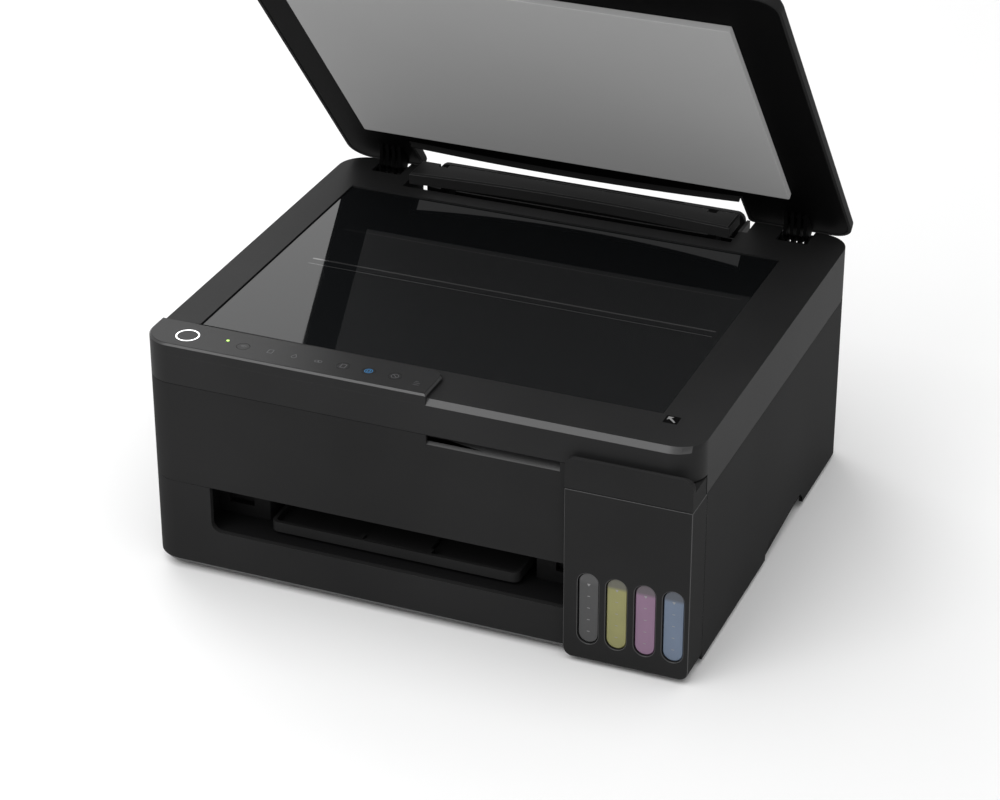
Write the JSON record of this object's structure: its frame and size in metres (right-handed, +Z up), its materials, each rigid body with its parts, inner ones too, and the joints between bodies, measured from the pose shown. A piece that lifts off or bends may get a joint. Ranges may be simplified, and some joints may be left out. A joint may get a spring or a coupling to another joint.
{
  "type": "all-in-one inkjet printer",
  "caption": "Black all-in-one inkjet printer with a flatbed scanner, lid standing open, ink tanks at the front right and a sliding output tray.",
  "frame": {"origin": "middle of the object's box, at the level of the feet", "axes": "+X to the right seen from the front, +Y from the front to the rear feeder, +Z up"},
  "size_m": [0.375, 0.347, 0.4068],
  "materials": {
    "case_plastic": "fine-grained black ABS",
    "bezel_plastic": "fine-grained black ABS, slightly glossier",
    "inner_plastic": "moulded black polystyrene",
    "scan_glass": "polished, dark because the space under it is black",
    "document_mat": "white foam-backed sheet",
    "steel": "zinc-plated sheet",
    "rubber": "matte",
    "gear_plastic": "natural acetal",
    "circuit_board": "green solder mask",
    "ink_black": "translucent tank with black ink",
    "ink_yellow": "translucent tank with yellow ink",
    "ink_magenta": "translucent tank with magenta ink",
    "ink_cyan": "translucent tank with cyan ink"
  },
  "bodies": {
    "base": {"lower_case": "case_plastic", "main_housing": "case_plastic", "tank_housing": "case_plastic", "foot_front_left": "rubber", "foot_front_right": "rubber", "foot_rear_left": "rubber", "foot_rear_right": "rubber", "tray_bay": "inner_plastic", "ink_tank_black": "ink_black", "ink_tank_yellow": "ink_yellow", "ink_tank_magenta": "ink_magenta", "ink_tank_cyan": "ink_cyan", "rear_feeder": "inner_plastic", "chassis_left": "steel", "chassis_right": "steel", "carriage_rail": "steel", "platen": "inner_plastic", "feed_motor": "steel", "carriage_motor": "steel", "timing_belt": "rubber", "power_supply": "inner_plastic", "main_board": "circuit_board"},
    "scanner": {"scanner_bezel": "bezel_plastic", "scanner_tub": "inner_plastic", "scanner_glass": "scan_glass", "control_panel": "bezel_plastic"},
    "cis_carriage": {"cis_carriage": "inner_plastic"},
    "hinge_posts": {"hinge_post_left": "inner_plastic", "hinge_post_right": "inner_plastic"},
    "lid": {"lid_shell": "case_plastic", "lid_panel": "inner_plastic", "document_mat": "document_mat"},
    "power_button": {"power_button": "bezel_plastic"},
    "network_key": {"network_key": "bezel_plastic"},
    "mono_copy_key": {"mono_copy_key": "bezel_plastic"},
    "colour_copy_key": {"colour_copy_key": "bezel_plastic"},
    "stop_key": {"stop_key": "bezel_plastic"},
    "tank_cover": {"tank_cover": "case_plastic"},
    "tank_cap_black": {"tank_cap_black": "ink_black"},
    "tank_cap_yellow": {"tank_cap_yellow": "ink_yellow"},
    "tank_cap_magenta": {"tank_cap_magenta": "ink_magenta"},
    "tank_cap_cyan": {"tank_cap_cyan": "ink_cyan"},
    "output_tray": {"output_tray": "case_plastic"},
    "paper_stop": {"paper_stop": "case_plastic"},
    "tray_extension": {"tray_extension": "case_plastic"},
    "feeder_guard": {"feeder_guard": "case_plastic"},
    "paper_support": {"paper_support": "case_plastic"},
    "support_extension": {"support_extension": "case_plastic"},
    "edge_guide_left": {"edge_guide_left": "inner_plastic"},
    "edge_guide_right": {"edge_guide_right": "inner_plastic"},
    "carriage": {"carriage": "inner_plastic", "print_head": "steel"},
    "feed_roller": {"feed_roller": "steel", "feed_gear": "gear_plastic"},
    "idler_gear": {"idler_gear": "gear_plastic"},
    "exit_roller": {"exit_roller": "rubber", "exit_gear": "gear_plastic"},
    "motor_pinion": {"motor_pinion": "gear_plastic"},
    "pickup_roller": {"pickup_roller": "rubber"},
    "carriage_pulley": {"carriage_pulley": "gear_plastic"}
  },
  "joints": [
    {"name": "scanner_tilt", "type": "hinge", "parent": "base", "child": "scanner", "pos_m": [0, 0.1452, 0.156], "axis": [-1, 0, 0], "range_deg": [0, 30]},
    {"name": "cis_travel", "type": "slide", "parent": "scanner", "child": "cis_carriage", "axis": [1, 0, 0], "range_m": [0, 0.29]},
    {"name": "lid_lift", "type": "slide", "parent": "scanner", "child": "hinge_posts", "axis": [0, 0, 1], "range_m": [0, 0.012]},
    {"name": "lid_hinge", "type": "hinge", "parent": "hinge_posts", "child": "lid", "pos_m": [0, 0.1468, 0.1579], "axis": [-1, 0, 0], "range_deg": [-50.06, 24.9]},
    {"name": "power_button_press", "type": "slide", "parent": "scanner", "child": "power_button", "axis": [0, 0, -1], "range_m": [0, 0.001], "stiffness_N_per_m": 300, "springref_m": -0.001},
    {"name": "network_key_press", "type": "slide", "parent": "scanner", "child": "network_key", "axis": [0, 0, -1], "range_m": [0, 0.001], "stiffness_N_per_m": 300, "springref_m": -0.001},
    {"name": "mono_copy_key_press", "type": "slide", "parent": "scanner", "child": "mono_copy_key", "axis": [0, 0, -1], "range_m": [0, 0.001], "stiffness_N_per_m": 300, "springref_m": -0.001},
    {"name": "colour_copy_key_press", "type": "slide", "parent": "scanner", "child": "colour_copy_key", "axis": [0, 0, -1], "range_m": [0, 0.001], "stiffness_N_per_m": 300, "springref_m": -0.001},
    {"name": "stop_key_press", "type": "slide", "parent": "scanner", "child": "stop_key", "axis": [0, 0, -1], "range_m": [0, 0.001], "stiffness_N_per_m": 300, "springref_m": -0.001},
    {"name": "tank_cover_hinge", "type": "hinge", "parent": "base", "child": "tank_cover", "pos_m": [0.1463, -0.1722, 0.126], "axis": [1, 0, 0], "range_deg": [0, 60]},
    {"name": "tank_cap_black_hinge", "type": "hinge", "parent": "base", "child": "tank_cap_black", "pos_m": [0.1214, -0.1208, 0.109], "axis": [-1, 0, 0], "range_deg": [0, 90]},
    {"name": "tank_cap_yellow_hinge", "type": "hinge", "parent": "base", "child": "tank_cap_yellow", "pos_m": [0.1399, -0.1208, 0.109], "axis": [-1, 0, 0], "range_deg": [0, 90]},
    {"name": "tank_cap_magenta_hinge", "type": "hinge", "parent": "base", "child": "tank_cap_magenta", "pos_m": [0.1586, -0.1208, 0.109], "axis": [-1, 0, 0], "range_deg": [0, 90]},
    {"name": "tank_cap_cyan_hinge", "type": "hinge", "parent": "base", "child": "tank_cap_cyan", "pos_m": [0.177, -0.1208, 0.109], "axis": [-1, 0, 0], "range_deg": [0, 90]},
    {"name": "output_tray_slide", "type": "slide", "parent": "base", "child": "output_tray", "axis": [0, -1, 0], "range_m": [0, 0.15]},
    {"name": "tray_extension_slide", "type": "slide", "parent": "output_tray", "child": "tray_extension", "axis": [0, -1, 0], "range_m": [0, 0.14]},
    {"name": "paper_stop_hinge", "type": "hinge", "parent": "output_tray", "child": "paper_stop", "pos_m": [-0.018, -0.1508, 0.0406], "axis": [1, 0, 0], "range_deg": [0, 75]},
    {"name": "feeder_guard_hinge", "type": "hinge", "parent": "base", "child": "feeder_guard", "pos_m": [-0.0087, 0.1442, 0.1615], "axis": [-1, 0, 0], "range_deg": [0, 95]},
    {"name": "paper_support_hinge", "type": "hinge", "parent": "base", "child": "paper_support", "pos_m": [-0.01, 0.1712, 0.084], "axis": [-1, 0, 0], "range_deg": [0, 30]},
    {"name": "support_extension_slide", "type": "slide", "parent": "paper_support", "child": "support_extension", "axis": [0, 0, 1], "range_m": [0, 0.055]},
    {"name": "edge_guide_left_slide", "type": "slide", "parent": "base", "child": "edge_guide_left", "axis": [1, 0, 0], "range_m": [0, 0.06]},
    {"name": "edge_guide_right_slide", "type": "slide", "parent": "base", "child": "edge_guide_right", "axis": [-1, 0, 0], "range_m": [0, 0.06]},
    {"name": "carriage_travel", "type": "slide", "parent": "base", "child": "carriage", "axis": [-1, 0, 0], "range_m": [0, 0.18]},
    {"name": "feed_roller_spin", "type": "hinge", "parent": "base", "child": "feed_roller", "pos_m": [-0.155, 0.0142, 0.068], "axis": [1, 0, 0], "continuous": true},
    {"name": "idler_gear_spin", "type": "hinge", "parent": "base", "child": "idler_gear", "pos_m": [-0.155, -0.0203, 0.068], "axis": [1, 0, 0], "continuous": true},
    {"name": "exit_roller_spin", "type": "hinge", "parent": "base", "child": "exit_roller", "pos_m": [-0.155, -0.0548, 0.068], "axis": [1, 0, 0], "continuous": true},
    {"name": "motor_pinion_spin", "type": "hinge", "parent": "base", "child": "motor_pinion", "pos_m": [-0.155, 0.03718, 0.08728], "axis": [1, 0, 0], "continuous": true},
    {"name": "pickup_roller_spin", "type": "hinge", "parent": "base", "child": "pickup_roller", "pos_m": [-0.01, 0.0942, 0.086], "axis": [1, 0, 0], "continuous": true},
    {"name": "carriage_pulley_spin", "type": "hinge", "parent": "base", "child": "carriage_pulley", "pos_m": [0.08, 0.0312, 0.105], "axis": [0, 0, -1], "range_deg": [0, 1920]}
  ],
  "couplings": [
    {"joint": "tank_cover_hinge", "follows": "scanner_tilt", "ratio": 2},
    {"joint": "tank_cap_black_hinge", "follows": "scanner_tilt", "ratio": 3},
    {"joint": "tank_cap_yellow_hinge", "follows": "scanner_tilt", "ratio": 3},
    {"joint": "tank_cap_magenta_hinge", "follows": "scanner_tilt", "ratio": 3},
    {"joint": "tank_cap_cyan_hinge", "follows": "scanner_tilt", "ratio": 3},
    {"joint": "edge_guide_right_slide", "follows": "edge_guide_left_slide", "ratio": 1},
    {"joint": "idler_gear_spin", "follows": "feed_roller_spin", "ratio": -1.875},
    {"joint": "exit_roller_spin", "follows": "feed_roller_spin", "ratio": 1},
    {"joint": "motor_pinion_spin", "follows": "feed_roller_spin", "ratio": -3},
    {"joint": "carriage_pulley_spin", "follows": "carriage_travel", "rad_per_m": 185.19}
  ]
}
